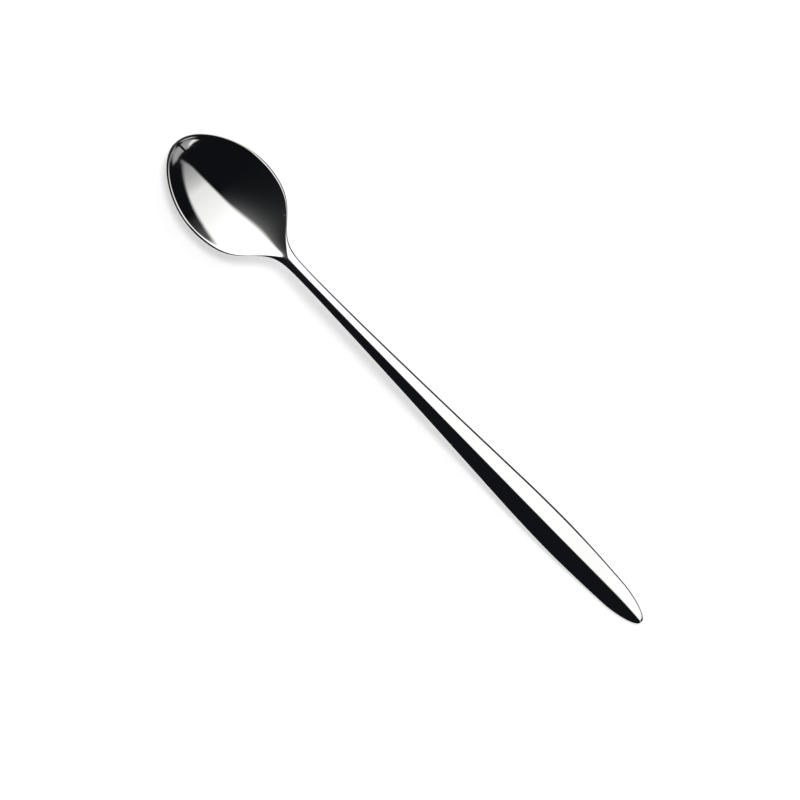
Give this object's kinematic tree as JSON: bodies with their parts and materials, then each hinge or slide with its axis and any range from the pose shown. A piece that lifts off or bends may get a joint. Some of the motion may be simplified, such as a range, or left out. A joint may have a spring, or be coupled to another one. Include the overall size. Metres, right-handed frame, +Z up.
{
  "type": "iced tea spoon",
  "caption": "Long slender spoon with an egg-shaped bowl, a narrow neck and a ridged leaf-shaped handle, lying bowl up.",
  "frame": {"origin": "on the table under the middle of the spoon's length and width", "axes": "+X along the spoon from the handle towards the bowl, +Z up out of the open bowl; the spoon is the same on both sides of the XZ plane"},
  "size_m": [0.2, 0.0302, 0.0119],
  "materials": {
    "polished_steel": "mirror-polished stainless steel"
  },
  "bodies": {
    "root": {"bowl": "polished_steel", "neck": "polished_steel", "handle": "polished_steel"}
  },
  "joints": []
}
